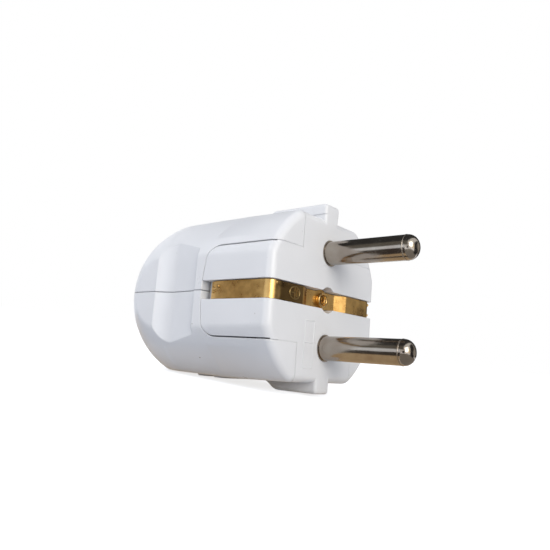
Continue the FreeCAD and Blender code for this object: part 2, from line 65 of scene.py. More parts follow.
# %% [markdown]
# ## Colours and nodes
# Colours are written as the sRGB values that a person reads off a colour picker, but shaders work with
# linear light, so one function turns the first into the second. A second function adds a shader node,
# sets its sockets and links its inputs, and a third starts a material.


# %% Colour and node helpers
def linear(code):
    """sRGB hex code to linear RGBA."""
    channels = [int(code[i:i + 2], 16) / 255 for i in (1, 3, 5)]
    return [c / 12.92 if c <= 0.04045 else ((c + 0.055) / 1.055) ** 2.4 for c in channels] + [1.0]


def add_node(tree, kind, settings=None, links=None, **attributes):
    """Shader node with attributes, socket values and links from other nodes' outputs."""
    made = tree.nodes.new(kind)
    for name, value in attributes.items():
        setattr(made, name, value)
    for socket, value in (settings or {}).items():
        made.inputs[socket].default_value = value
    for socket, source in (links or {}).items():
        tree.links.new(source, made.inputs[socket])
    return made


def new_material(name):
    """Node material with its shader and the object coordinates that its patterns use."""
    material = bpy.data.materials.new(name)
    material.use_nodes = True
    tree = material.node_tree
    place = add_node(tree, "ShaderNodeTexCoord").outputs["Object"]
    return material, tree, tree.nodes["Principled BSDF"], place


print("white #FFFFFF is", linear("#FFFFFF")[0], "in linear light")

# %% [markdown]
# ## Building blocks of a finish
# Every finish here is made of the same few nodes. They could be set up one by one in each material, but
# short functions let a material read as a list of what happens to the surface. A noise takes a real
# size in millimetres and may be drawn out along an axis. A change of range turns it into a mask or a
# roughness. Colours follow a value or cover each other by a mask, and bumps lie on top of other bumps.
# Sockets that share a name are given by number: a Map Range node takes its value at 0, the range that
# it reads at 1 and 2 and the range that it gives at 3 and 4, and a Mix node its share at 0 and its
# colours at 6 and 7.


# %% Patterns, colours and bumps
def noise(tree, place, size, detail, roughness=0.5):
    """Cloudy pattern with patches of about a size in millimetres."""
    return add_node(tree, "ShaderNodeTexNoise",
                    {"Scale": 1 / (size * MM), "Detail": detail, "Roughness": roughness},
                    {"Vector": place}).outputs[0]


def stretch(tree, place, scale, turn=(0.0, 0.0, 0.0)):
    """Place that is turned and scaled: a small scale draws a pattern out along its axis."""
    return add_node(tree, "ShaderNodeMapping", {"Rotation": turn, "Scale": scale},
                    {"Vector": place}).outputs[0]


def spread(tree, value, seen, given=(0.0, 1.0)):
    """Value between the ends of one range, carried over to another range."""
    return add_node(tree, "ShaderNodeMapRange", {1: seen[0], 2: seen[1], 3: given[0], 4: given[1]},
                    {0: value}).outputs[0]


def combine(tree, operation, first, second):
    """Two values put together by a math node."""
    return add_node(tree, "ShaderNodeMath", links={0: first, 1: second}, operation=operation).outputs[0]


def ramp(tree, value, start, end):
    """Colour that runs from one place and colour code to another as a value grows."""
    made = add_node(tree, "ShaderNodeValToRGB", links={0: value})
    for element, (position, code) in zip(made.color_ramp.elements, (start, end)):
        element.position = position
        element.color = linear(code)
    return made.outputs[0]


def cover(tree, under, code, mask):
    """Colour that is covered by a colour code where a mask is 1."""
    return add_node(tree, "ShaderNodeMix", {7: linear(code)}, {0: mask, 6: under},
                    data_type="RGBA").outputs[2]


def bump(tree, height, depth, strength, under=None, invert=False):
    """Bumps or, inverted, dips of a depth in millimetres, on top of what lies under them."""
    links = {"Height": height}
    if under:
        links["Normal"] = under
    return add_node(tree, "ShaderNodeBump", {"Strength": strength, "Distance": depth * MM}, links,
                    invert=invert).outputs[0]


def surface(tree, shader, colour, roughness, normal, metallic=0.0):
    """Link a finish's colour, roughness and bumps to its shader."""
    for socket, source in (("Base Color", colour), ("Roughness", roughness), ("Normal", normal)):
        tree.links.new(source, shader.inputs[socket])
    shader.inputs["Metallic"].default_value = metallic


print("a pattern of 1 mm has the scale", round(1 / MM))

# %% [markdown]
# ## Moulded white plastic
# The shell and the carrier are injection-moulded ABS with a polished tool surface. It is a slightly
# cool white, glossy but not optically flat: the wall sinks a little as it cools, so reflections waver
# over some millimetres. No moulded edge is quite sharp, so edges are shaded round: tightly on the
# carrier and over a third of a millimetre on the shells, whose tool was polished by hand. Handling adds
# a few small dents, hairline scratches, smudges and some dark specks. A painted picture could hold
# them, but it needs a file and an unwrapped mesh. Here each is a noise pattern with a real size in
# millimetres, so that it stays fine on a small object. The hairlines are drawn coarser than real ones
# to show.

# %% White plastic
SINK_WAVE = 9.0
SMUDGE = 5.0
DENT = 2.2
SPECK = 0.9
HAIRLINE = 0.25
HAIRLINE_STRETCH = 0.06
HAIRLINE_TURN = (0.5, 0.3, 0.9)
SMUDGE_CUT = (0.3, 0.75)
SPECK_CUT = (0.88, 0.91)
DENT_CUT = (0.78, 0.9)
HAIRLINE_CUT = (0.82, 0.89)
SINK_DEPTH = 0.04
DENT_DEPTH = 0.04
HAIRLINE_DEPTH = 0.004
PLASTIC_ROUGHNESS = (0.27, 0.38)
PLASTIC_IOR = 1.53
CARRIER_EDGE = 0.12
SHELL_EDGE = 0.35


def moulded_plastic(name, edge_round):
    """Glossy white plastic whose edges are shaded round by a radius in millimetres."""
    material, tree, shader, place = new_material(name)
    cloud = noise(tree, place, SINK_WAVE, detail=1.0)
    smudge = noise(tree, place, SMUDGE, detail=5.0, roughness=0.6)
    dent = spread(tree, noise(tree, place, DENT, detail=0.0), DENT_CUT)
    speck = spread(tree, noise(tree, place, SPECK, detail=0.0), SPECK_CUT)
    slant = stretch(tree, place, (HAIRLINE_STRETCH, 1.0, 1.0), HAIRLINE_TURN)
    hairline = spread(tree, noise(tree, slant, HAIRLINE, detail=1.0), HAIRLINE_CUT)
    tint = ramp(tree, cloud, (0.0, "#DDDEE0"), (1.0, "#E3E4E6"))
    colour = cover(tree, tint, "#A39D93", speck)
    gloss = spread(tree, smudge, SMUDGE_CUT, PLASTIC_ROUGHNESS)
    edges = add_node(tree, "ShaderNodeBevel", {"Radius": edge_round * MM}, samples=8).outputs[0]
    waves = bump(tree, cloud, SINK_DEPTH, strength=1.0, under=edges)
    dents = bump(tree, dent, DENT_DEPTH, strength=1.0, under=waves, invert=True)
    lines = bump(tree, hairline, HAIRLINE_DEPTH, strength=0.5, under=dents, invert=True)
    surface(tree, shader, colour, gloss, lines)
    shader.inputs["IOR"].default_value = PLASTIC_IOR
    return material


carrier_plastic = moulded_plastic("abs_moulded_gloss_white", CARRIER_EDGE)
shell_plastic = moulded_plastic("abs_moulded_soft_edges_white", SHELL_EDGE)
print("made", carrier_plastic.name, "and", shell_plastic.name)

# %% [markdown]
# ## Nickel-plated pins
# The pins are turned from brass rod and plated with a thin warm grey nickel. Turning leaves fine rings
# round the axis, and every push into a socket rubs long scratches along it, where a little brown shows
# through. A shader's own anisotropy could stretch the highlights, but it would show no single scratch.
# So noise that is drawn out along and across the pin makes both. The rings are drawn coarser than real
# ones to show.

# %% Nickel
TURNING = 0.16
TURNING_STRETCH = 0.02
RUB_WIDTH = 0.22
RUB_LENGTH = 6.0
RUB_CUT = (0.66, 0.8)
RUB_SHARE = 0.5
PATCH = 3.0
RING_DEPTH = 0.003
SCRATCH_DEPTH = 0.004
NOISE_RANGE = (0.3, 0.7)
NICKEL_ROUGHNESS = (0.12, 0.22)


def turned_nickel():
    """Warm grey nickel with rings from turning and long rubbed scratches."""
    material, tree, shader, place = new_material("nickel_plated_turned_brass")
    along = stretch(tree, place, (RUB_WIDTH / RUB_LENGTH, 1.0, 1.0))
    rub = noise(tree, along, RUB_WIDTH, detail=3.0)
    across = stretch(tree, place, (1.0, TURNING_STRETCH, TURNING_STRETCH))
    turning = noise(tree, across, TURNING, detail=1.0)
    patch = noise(tree, place, PATCH, detail=4.0)
    tint = ramp(tree, patch, (0.35, "#9A9086"), (0.7, "#ACA59B"))
    colour = cover(tree, tint, "#8F7250", spread(tree, rub, RUB_CUT, (0.0, RUB_SHARE)))
    gloss = spread(tree, patch, NOISE_RANGE, NICKEL_ROUGHNESS)
    rings = bump(tree, turning, RING_DEPTH, strength=0.5)
    scratches = bump(tree, rub, SCRATCH_DEPTH, strength=0.5, under=rings)
    surface(tree, shader, colour, gloss, scratches, metallic=1.0)
    return material


nickel = turned_nickel()
print("made", nickel.name)

# %% [markdown]
# ## Rolled brass strip
# The earth strap is stamped from rolled strip. Rolling draws fine lines along the strip, so they run
# across the front and then along the sides: they only change with height. Air dulls the brass to olive in
# clouds, with small brown spots. A stamp pressed the sign into the outer flat on one side. That flat is
# also painted darker than the rest: a painted dark reflection, which stands in for the darker
# surroundings that this flat mirrors. It could have a material of its own on its own faces, but then the
# strap would be cut up. A mask by place does it instead: the brass takes the painted dark reflection
# between two places across the plug.

# %% Brass
ROLL_LINE = 0.09
ROLL_STRETCH = 0.02
ROLL_DEPTH = 0.005
TARNISH = 2.4
SPOT = 0.5
SPOT_CUT = (0.7, 0.8)
SPOT_SHARE = 0.6
# where the painted dark reflection lies on the strap's front, between two places across the plug
DARK_REFLECTION_FLAT = (-14.6, -7.4)
DARK_REFLECTION_FRONT = -1.2
DARK_REFLECTION_SHARE = 0.85
FRONT_BLUR = 0.3
OUTER_BLUR = 0.6
INNER_BLUR = 0.2
STRIP_ROUGHNESS = (0.24, 0.38)
MARK_ROUGHNESS = (0.26, 0.36)


def rolled_brass(name, clean, dull, roughness, painted_reflection=None):
    """Brass between a clean and a dull colour, with a third colour painted on one flat as a dark
    reflection.
    """
    material, tree, shader, place = new_material(name)
    roll = noise(tree, stretch(tree, place, (ROLL_STRETCH, ROLL_STRETCH, 1.0)), ROLL_LINE, detail=2.0)
    cloud = noise(tree, place, TARNISH, detail=5.0, roughness=0.6)
    spot = noise(tree, place, SPOT, detail=1.0)
    tint = ramp(tree, cloud, (0.3, dull), (0.62, clean))
    colour = cover(tree, tint, "#5C431F", spread(tree, spot, SPOT_CUT, (0.0, SPOT_SHARE)))
    # painted dark reflection: the outer flat on the near side is darkened by a mask by place
    if painted_reflection:
        axes = add_node(tree, "ShaderNodeSeparateXYZ", links={0: place}).outputs
        outer, inner = (y * MM for y in DARK_REFLECTION_FLAT)
        front = spread(tree, axes["X"], (DARK_REFLECTION_FRONT * MM, (DARK_REFLECTION_FRONT + FRONT_BLUR) * MM))
        begin = spread(tree, axes["Y"], (outer, outer + OUTER_BLUR * MM), (0.0, DARK_REFLECTION_SHARE))
        end = spread(tree, axes["Y"], (inner, inner - INNER_BLUR * MM))
        flat = combine(tree, "MULTIPLY", combine(tree, "MULTIPLY", begin, end), front)
        colour = cover(tree, colour, painted_reflection, flat)
    gloss = spread(tree, cloud, NOISE_RANGE, roughness)
    lines = bump(tree, roll, ROLL_DEPTH, strength=0.5)
    surface(tree, shader, colour, gloss, lines, metallic=1.0)
    return material


# the last colour is the painted dark reflection on the near outer flat
strip_brass = rolled_brass("brass_rolled_strip_dulled", "#E2BB78", "#B8935A", STRIP_ROUGHNESS, "#6E5735")
mark_brass = rolled_brass("brass_stamped_bright", "#AE9362", "#8D7648", MARK_ROUGHNESS)
print("made", strip_brass.name, "and", mark_brass.name)

# %% [markdown]
# ## Hollow screw head
# The screw in the strap's eye has a hollow head. Its rim is rubbed pale, and its paler colour is also a
# painted highlight. Brown dirt with some clean brass between fills the recess, and its dark brown is also
# painted shade. Two materials on two sets of faces would meet in a hard line. The distance from the
# screw's axis tells rim and recess apart with a soft edge.

# %% Brass of the hollow screw
RIM_INSIDE = 0.95
RIM_BLUR = 0.1
DIRT_AND_SHADE = 0.55
PIT_DEPTH = 0.02
RECESS_TO_RIM_ROUGHNESS = (0.45, 0.2)


def rim_wear_and_highlight_brass():
    """Brass with a pale rim, rubbed and with a painted highlight, round a recess darkened by dirt and
    painted shade.
    """
    material, tree, shader, place = new_material("brass_screw_rim_highlight_recess_shade")
    flat = stretch(tree, place, (0.0, 1.0, 1.0))
    radius = add_node(tree, "ShaderNodeVectorMath", links={0: flat}, operation="LENGTH").outputs["Value"]
    rim = spread(tree, radius, ((RIM_INSIDE - RIM_BLUR) * MM, (RIM_INSIDE + RIM_BLUR) * MM))
    dirt_and_shade = noise(tree, place, DIRT_AND_SHADE, detail=2.0)
    # painted shade: the recess runs from dark brown to clean brass, for dirt and painted shade together
    recess_dirt_and_shade = ramp(tree, dirt_and_shade, (0.5, "#5A3413"), (0.66, "#D9A24A"))
    # painted highlight: the rim is pale from wear and from a painted highlight
    colour = cover(tree, recess_dirt_and_shade, "#CBA970", rim)
    gloss = spread(tree, rim, (0.0, 1.0), RECESS_TO_RIM_ROUGHNESS)
    pits = bump(tree, dirt_and_shade, PIT_DEPTH, strength=0.6)
    surface(tree, shader, colour, gloss, pits, metallic=1.0)
    return material


screw_brass = rim_wear_and_highlight_brass()
print("made", screw_brass.name)

# %% [markdown]
# ## Zinc-plated screws
# The other screws are steel with a pale, slightly blue zinc plating. It is fine-grained and never
# mirror-bright. One even grey would look like paint, so a small grain moves its tone and its roughness.

# %% Zinc
ZINC_GRAIN = 0.3
PORE_DEPTH = 0.004
ZINC_ROUGHNESS = (0.24, 0.42)


def zinc_plate():
    """Pale zinc plating with a fine grain."""
    material, tree, shader, place = new_material("steel_zinc_plated")
    grain = noise(tree, place, ZINC_GRAIN, detail=3.0)
    tint = ramp(tree, grain, (0.0, "#A4A8AB"), (1.0, "#C9CBCC"))
    gloss = spread(tree, grain, NOISE_RANGE, ZINC_ROUGHNESS)
    pores = bump(tree, grain, PORE_DEPTH, strength=0.4)
    surface(tree, shader, tint, gloss, pores, metallic=1.0)
    return material


zinc = zinc_plate()
print("made", zinc.name)

# %% [markdown]
# ## Smooth mouldings and turned pieces
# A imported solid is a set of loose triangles, and glossy plastic would show each one. The forms could be
# modelled again, but they would never fit as well. So a copy of each piece is welded, which lets
# neighbouring triangles share their corners, and shaded smooth up to a sharp edge. The copy has the
# solid's exact form and stands for it. Pieces inside the plug keep their solids.

# %% Weld and smooth the pieces that show
WELD = 0.001
SHARP_ANGLE = math.radians(28)


def only(piece):
    """Select one object and make it the active one."""
    bpy.ops.object.select_all(action="DESELECT")
    piece.select_set(True)
    bpy.context.view_layer.objects.active = piece


def give(piece, material):
    """Dress a piece in one material and let it ride with the plug."""
    piece.data.materials.clear()
    piece.data.materials.append(material)
    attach(piece, "root")


def smooth_copy(node, name, material):
    """Welded, smooth-shaded copy of a solid that stands for it."""
    piece = bpy.data.objects.new(name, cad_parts[node].data.copy())
    bpy.context.scene.collection.objects.link(piece)
    only(piece)
    bpy.ops.mesh.customdata_custom_splitnormals_clear()
    bpy.ops.object.mode_set(mode="EDIT")
    bpy.ops.mesh.select_all(action="SELECT")
    bpy.ops.mesh.remove_doubles(threshold=WELD * MM)
    bpy.ops.object.mode_set(mode="OBJECT")
    bpy.ops.object.shade_smooth_by_angle(angle=SHARP_ANGLE)
    give(piece, material)
    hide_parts(node)
    print(name, "has", len(piece.data.polygons), "faces")
    return piece


carrier = smooth_copy("contact_carrier", "carrier_moulding", carrier_plastic)
smooth_copy("upper_shell", "upper_moulding", shell_plastic)
lower = smooth_copy("lower_shell", "lower_moulding", shell_plastic)
smooth_copy("live_pin", "live_contact", nickel)
smooth_copy("neutral_pin", "neutral_contact", nickel)
smooth_copy("earth_strap", "earth_strip", strip_brass)
for side in ("left", "right"):
    smooth_copy(f"shell_screw_{side}", f"closing_screw_{side}", zinc)

# %% [markdown]
# ## Pieces inside
# Screws, washer, terminal block and cord clamp lie inside the closed shells and show only when the plug
# is taken apart. They need no smooth copies: each solid gets the finish of its kind.

# %% Dress the pieces inside
inside = {shell_plastic: ["cord_clamp"],
          strip_brass: ["earth_terminal"],
          zinc: ["live_terminal_screw", "neutral_terminal_screw", "earth_wire_screw", "earth_wire_washer",
                 "clamp_screw_left", "clamp_screw_right"]}
for material, nodes in inside.items():
    for node in nodes:
        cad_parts[node].data.materials.clear()
        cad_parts[node].data.materials.append(material)
    print(material.name, "on", ", ".join(nodes))

# %% [markdown]
# ## Screw in the strap's eye
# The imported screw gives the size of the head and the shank. A hollow head could be cut with a second
# cylinder, but insets leave cleaner faces. The head starts as a cylinder. Its front is inset twice, the
# second time inwards, which leaves a rim round a recess, and its edges are bevelled.

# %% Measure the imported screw
HEAD_HEIGHT = 0.8
BELOW_HEAD = 1.0
corners = [v.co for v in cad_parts["earth_screw"].data.vertices]
front, rear = max(p.x for p in corners), min(p.x for p in corners)
seat = front - HEAD_HEIGHT * MM
head_radius = max(p.y for p in corners)
shank_radius = max(p.y for p in corners if p.x < seat - BELOW_HEAD * MM)
print("head radius", round(head_radius / MM, 2), "mm, shank radius", round(shank_radius / MM, 2), "mm")

# %% Model the hollow screw
HEAD_RIM = 0.36
RECESS_DEPTH = 0.5
RECESS_SLOPE = 0.12
RIM_ROUND = 0.12
ROUND_FACES = 64


def cylinder(name, radius, x_range):
    """Cylinder on the plug's axis between two values of x."""
    bpy.ops.object.select_all(action="DESELECT")
    bpy.ops.mesh.primitive_cylinder_add(vertices=ROUND_FACES, radius=radius,
                                        depth=x_range[1] - x_range[0],
                                        location=(sum(x_range) / 2, 0, 0), rotation=(0, math.pi / 2, 0))
    made = bpy.context.object
    made.name = name
    bpy.ops.object.transform_apply(location=True, rotation=True)
    return made


eye_screw = cylinder("earth_eye_screw", head_radius, (seat, front))
only(eye_screw)
bpy.ops.object.mode_set(mode="EDIT")
bpy.ops.mesh.select_mode(type="FACE")
bpy.ops.mesh.select_all(action="DESELECT")
bpy.ops.object.mode_set(mode="OBJECT")
max(eye_screw.data.polygons, key=lambda face: face.center.x).select = True
bpy.ops.object.mode_set(mode="EDIT")
bpy.ops.mesh.inset(thickness=HEAD_RIM * MM)
bpy.ops.mesh.inset(thickness=RECESS_SLOPE * MM, depth=-RECESS_DEPTH * MM)
bpy.ops.object.mode_set(mode="OBJECT")
bpy.ops.object.modifier_add(type="BEVEL")
eye_screw.modifiers["Bevel"].width = RIM_ROUND * MM
eye_screw.modifiers["Bevel"].segments = 3
bpy.ops.object.modifier_apply(modifier="Bevel")
shank = cylinder("shank", shank_radius, (rear, seat))
only(eye_screw)
shank.select_set(True)
bpy.ops.object.join()
bpy.ops.object.shade_smooth_by_angle(angle=SHARP_ANGLE)
give(eye_screw, screw_brass)
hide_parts("earth_screw")
print("earth_eye_screw has", len(eye_screw.data.polygons), "faces")

# %% [markdown]
# ## Shoulder of the pins
# Where a pin's straight part meets its rounded tip, the turning tool left a fine bead. A bump in the
# nickel could hint at it, but a real edge catches the light better. It starts as a torus that is drawn
# wide along the pin, lies in the pin's surface and stands out by a few hundredths of a millimetre.

# %% Beads at the tips
BEAD_PLACE = 16.9
BEAD_RADIUS = 2.36
BEAD_LINE = 0.1
BEAD_WIDE = 1.4
PIN_PLACE = 9.5


def ring(name, centre, radius, line, flatten, material):
    """Torus round the direction of the pins, drawn out of round on each axis by flatten."""
    bpy.ops.object.select_all(action="DESELECT")
    bpy.ops.mesh.primitive_torus_add(major_radius=radius * MM, minor_radius=line * MM,
                                     major_segments=ROUND_FACES, minor_segments=10,
                                     rotation=(0, math.pi / 2, 0))
    made = bpy.context.object
    made.name = name
    bpy.ops.object.transform_apply(rotation=True)
    made.scale = flatten
    made.location = Vector(centre) * MM
    bpy.ops.object.transform_apply(location=True, scale=True)
    bpy.ops.object.shade_smooth()
    give(made, material)
    print(name, "has", len(made.data.polygons), "faces")


for name, z in (("live_tip_bead", PIN_PLACE), ("neutral_tip_bead", -PIN_PLACE)):
    ring(name, (BEAD_PLACE, 0, z), BEAD_RADIUS, BEAD_LINE, (BEAD_WIDE, 1, 1), nickel)

# %% [markdown]
# ## Embossed frame
# The front of the carrier has a low frame with two cells beside the lower pin. In the mould it is a set
# of engraved lines, so on the plug they stand out. A pattern in the material could only fake their
# edges. So each line starts as a cube that is sized to its place; the lines are joined and their edges
# bevelled, because an engraved line has no sharp edges. The cells stay bare.

# %% Frame on the front
LINE = 0.22
LINE_HEIGHT = 0.07
LINE_ROUND = 0.05
FRAME_SIDES = (-6.8, -3.9)
FRAME_LEVELS = (-13.6, -8.75, -4.6)


def bars(name, spans, round_off, material):
    """Blocks between two corners each, joined to one piece with bevelled edges."""
    made = []
    for low, high in spans:
        low, high = Vector(low) * MM, Vector(high) * MM
        bpy.ops.object.select_all(action="DESELECT")
        bpy.ops.mesh.primitive_cube_add(size=1, location=(low + high) / 2)
        block = bpy.context.object
        block.scale = high - low
        bpy.ops.object.transform_apply(location=True, rotation=True, scale=True)
        made.append(block)
    bpy.ops.object.select_all(action="DESELECT")
    for block in made:
        block.select_set(True)
    bpy.context.view_layer.objects.active = made[0]
    bpy.ops.object.join()
    piece = bpy.context.object
    piece.name = name
    bpy.ops.object.mode_set(mode="EDIT")
    bpy.ops.mesh.select_all(action="SELECT")
    bpy.ops.mesh.bevel(offset=round_off * MM, segments=2, affect="EDGES")
    bpy.ops.object.mode_set(mode="OBJECT")
    bpy.ops.object.shade_smooth_by_angle(angle=SHARP_ANGLE)
    give(piece, material)
    print(name, "has", len(piece.data.polygons), "faces")


left, right = FRAME_SIDES
low, high = FRAME_LEVELS[0], FRAME_LEVELS[-1]
spans = [((-LINE, y - LINE / 2, low), (LINE_HEIGHT, y + LINE / 2, high)) for y in FRAME_SIDES]
spans += [((-LINE, left, z - LINE / 2), (LINE_HEIGHT, right, z + LINE / 2)) for z in FRAME_LEVELS]
bars("front_frame", spans, LINE_ROUND, carrier_plastic)

# %% [markdown]
# ## Closed seams
# On the front, the four corners of the shell meet the carrier in seams that are all but closed. The
# pieces are separate, so the gap can't be closed in them. A strip of the same plastic in each seam, a
# hair below the face, shows the seams as fine lines and not as black gaps.

# %% Strips in the front seams
SEAM = 8.96
SEAM_WIDTH = 0.12
SEAM_END = 14.3
SEAM_DEPTH = 0.6
SEAM_BELOW = 0.02
SEAM_ROUND = 0.02
spans = []
for y_side in (-1, 1):
    for z_side in (-1, 1):
        for end_y, end_z in ((SEAM, SEAM_END), (SEAM_END, SEAM)):
            y = sorted((y_side * (SEAM - SEAM_WIDTH / 2), y_side * (end_y + SEAM_WIDTH / 2)))
            z = sorted((z_side * (SEAM - SEAM_WIDTH / 2), z_side * (end_z + SEAM_WIDTH / 2)))
            spans.append(((-SEAM_DEPTH, y[0], z[0]), (-SEAM_BELOW, y[1], z[1])))
bars("seam_strips", spans, SEAM_ROUND, carrier_plastic)

# %% [markdown]
# ## Stamped earth sign
# The flat of the strap that faces the socket has the general sign for earth in a ring: one stem and
# three bars that get shorter. It lies on its side. It could be cut from text, but no letter has this
# form. The ring starts as a torus that is sunk into the strap by half of its thickness and drawn a
# little wide; the stem and the bars are blocks like those of the frame.

# %% Sign on the strap
STRAP_FACE = -0.5
SIGN_CENTRE = (-10.0, 0.1)
SIGN_RADIUS = 1.15
SIGN_WIDE = 1.3
SIGN_LINE = 0.24
SIGN_HEIGHT = 0.06
SIGN_LOW = 0.6
SIGN_ROUND = 0.03
SIGN_BARS = ((0.0, 1.0), (0.6, 0.8), (1.1, 0.45))
STEM_END = -0.05
ring("sign_ring", (STRAP_FACE, *SIGN_CENTRE), SIGN_RADIUS, SIGN_LINE / 2, (SIGN_LOW, SIGN_WIDE, 1),
     mark_brass)


def sign_bar(y_range, half_height):
    """Corners of one bar of the sign, from its place beside the centre."""
    y, z = SIGN_CENTRE
    return ((STRAP_FACE - SIGN_LINE, y + y_range[0], z - half_height),
            (STRAP_FACE + SIGN_HEIGHT, y + y_range[1], z + half_height))


spans = [sign_bar((-SIGN_RADIUS * SIGN_WIDE, STEM_END), SIGN_LINE / 2)]
for y, half_height in SIGN_BARS:
    spans.append(sign_bar((y - SIGN_LINE / 2, y + SIGN_LINE / 2), half_height))
bars("sign_bars", spans, SIGN_ROUND, mark_brass)

# %% [markdown]
# ## Pips on the strap
# Small pips were pressed out of the strap at its rear tips and at the bends. They could be a pattern in
# the brass, but on so small a piece only real bumps catch a point of light. A pip is the top of a ball,
# so each starts as a sphere that is pressed flat, sunk into the strap and bisected. Both tips have the
# same ones.

# %% Pips
TIP_PIPS = (((-15.3, 16.75, 0.75), 0.32),
            ((-15.3, 16.75, -0.35), 0.32),
            ((-14.6, 16.93, -0.1), 0.26),
            ((-13.9, 17.0, 0.7), 0.32))
BEND_PIPS = (((-0.6, -15.4, 1.25), 0.32),
             ((-0.95, 16.5, 1.1), 0.34),
             ((-0.95, 16.5, -1.15), 0.3))
PIP_FLAT = 0.8
PIP_ROOT = 0.08
CUT_LIMIT = 0.0001


def pip(name, centre, outward, size):
    """Ball that is pressed flat and cut off a little below the strap's surface."""
    centre, outward = Vector(centre) * MM, Vector(outward).normalized()
    bpy.ops.object.select_all(action="DESELECT")
    bpy.ops.mesh.primitive_uv_sphere_add(segments=20, ring_count=12, radius=size * MM)
    made = bpy.context.object
    made.name = name
    made.scale = (1.0, PIP_FLAT, 1.0)
    made.location = centre
    bpy.ops.object.transform_apply(location=True, scale=True)
    bpy.ops.object.mode_set(mode="EDIT")
    bpy.ops.mesh.select_all(action="SELECT")
    bpy.ops.mesh.bisect(plane_co=centre - outward * PIP_ROOT * MM, plane_no=outward, use_fill=True,
                        clear_inner=True, threshold=CUT_LIMIT * MM)
    bpy.ops.object.mode_set(mode="OBJECT")
    bpy.ops.object.shade_smooth_by_angle(angle=SHARP_ANGLE)
    give(made, strip_brass)


pips = [((x, side * y, z), (0, side, 0), size) for side in (-1, 1) for (x, y, z), size in TIP_PIPS]
pips += [((x, y, z), (1, math.copysign(1, y), 0), size) for (x, y, z), size in BEND_PIPS]
for index, (centre, outward, size) in enumerate(pips):
    pip(f"strap_pip_{index}", centre, outward, size)
print("made", len(pips), "pips")

# %% [markdown]
# ## The floor
# The plug lies on the rear end of its lower rib and on the underside of its rear, tilted by a few
# degrees. The floor is laid under those two places, so the plug touches it as it does on a table. The
# line through them is found from the mesh: from the rib's end, it is the flattest line that has all of
# the shell above it. The plug could be turned instead, but then its pieces would leave the frame in
# which they were built.

# %% Floor
FLOOR_SIZE = 3.0
RIB_FLAT = 0.01
BEHIND_RIB = 10.0
carrier_points = [v.co for v in carrier.data.vertices]
rib_level = min(p.z for p in carrier_points) + RIB_FLAT * MM
rib_end = min((p for p in carrier_points if p.z < rib_level), key=lambda p: p.x)
rear_points = [v.co for v in lower.data.vertices if v.co.x < rib_end.x - BEHIND_RIB * MM]
tilt = math.atan(min((p.z - rib_end.z) / (rib_end.x - p.x) for p in rear_points))
bpy.ops.object.select_all(action="DESELECT")
bpy.ops.mesh.primitive_plane_add(size=FLOOR_SIZE, location=(rib_end.x, 0, rib_end.z),
                                 rotation=(0, tilt, 0))
floor = bpy.context.object
floor.name = "floor"
bpy.ops.object.transform_apply(location=True, rotation=True)
floor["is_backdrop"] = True
print("floor slopes by", round(math.degrees(tilt), 2), "degrees")

# %% [markdown]
# ## Finish of the floor
# The floor is pale and matte, like paper in a studio. Stronger lamps could make it white, but they
# would burn out the plug as well. So the floor glows a little, and only for rays that come from the
# camera, a mirror or glass: it is seen white, the plug's shadow stays, and the glow doesn't light the
# plug.


# %% Floor finish
def seen_directly(tree):
    """1 for rays that come from the camera, a mirror or glass, and 0 for light that falls on things."""
    path = add_node(tree, "ShaderNodeLightPath").outputs
    shiny = combine(tree, "MAXIMUM", path["Is Glossy Ray"], path["Is Transmission Ray"])
    return combine(tree, "MAXIMUM", path["Is Camera Ray"], shiny)


FLOOR_LIFT = 0.75
FLOOR_ROUGHNESS = 0.8
floor_material, tree, shader, _ = new_material("floor_matte_pale")
shader.inputs["Base Color"].default_value = linear("#C9CCD2")
shader.inputs["Roughness"].default_value = FLOOR_ROUGHNESS
shader.inputs["Specular IOR Level"].default_value = 0.0
shader.inputs["Emission Color"].default_value = linear("#FFFFFF")
lift = add_node(tree, "ShaderNodeMath", {1: FLOOR_LIFT}, {0: seen_directly(tree)}, operation="MULTIPLY")
tree.links.new(lift.outputs[0], shader.inputs["Emission Strength"])
floor.data.materials.append(floor_material)
print("made", floor_material.name)

# %% [markdown]
# ## Studio light
# A picture of a room could light the plug, but lamps can be placed one by one. A soft one stands at the
# front right, a little above, and gives the rounded front edge its bright band and the pins their soft
# shadow on the face. A cooler one hangs close on the left, and two weak ones above and behind keep the
# far side from turning grey. Only the front one shows in the metal. The room's own light is even and
# pale. Seen directly, the room is plain white.

# %% World
AMBIENT = 0.52
world = bpy.data.worlds.new("studio")
bpy.context.scene.world = world
world.use_nodes = True
tree = world.node_tree
room = tree.nodes["Background"]
room.inputs["Color"].default_value = linear("#F0F3FA")
room.inputs["Strength"].default_value = AMBIENT
backdrop = add_node(tree, "ShaderNodeBackground", {"Color": linear("#FFFFFF"), "Strength": 1.0})
either = add_node(tree, "ShaderNodeMixShader",
                  links={0: seen_directly(tree), 1: room.outputs[0], 2: backdrop.outputs[0]})
tree.links.new(either.outputs[0], tree.nodes["World Output"].inputs["Surface"])
print("the room's own light has the strength", AMBIENT)


# %% Lamps
def soft_light(name, direction, distance, size, watts, code, mirrored=True):
    """Square area lamp with its distance and size in metres; polished metal may show it or not."""
    data = bpy.data.lights.new(name, "AREA")
    data.size = size
    data.energy = watts
    data.color = linear(code)[:3]
    lamp = bpy.data.objects.new(name, data)
    bpy.context.scene.collection.objects.link(lamp)
    lamp.visible_glossy = mirrored
    towards = Vector(direction).normalized()
    turn = towards.to_track_quat("Z", "Y").to_matrix().to_4x4()
    lamp.matrix_world = Matrix.Translation(towards * distance) @ turn
    print(name, "gives", watts, "W")


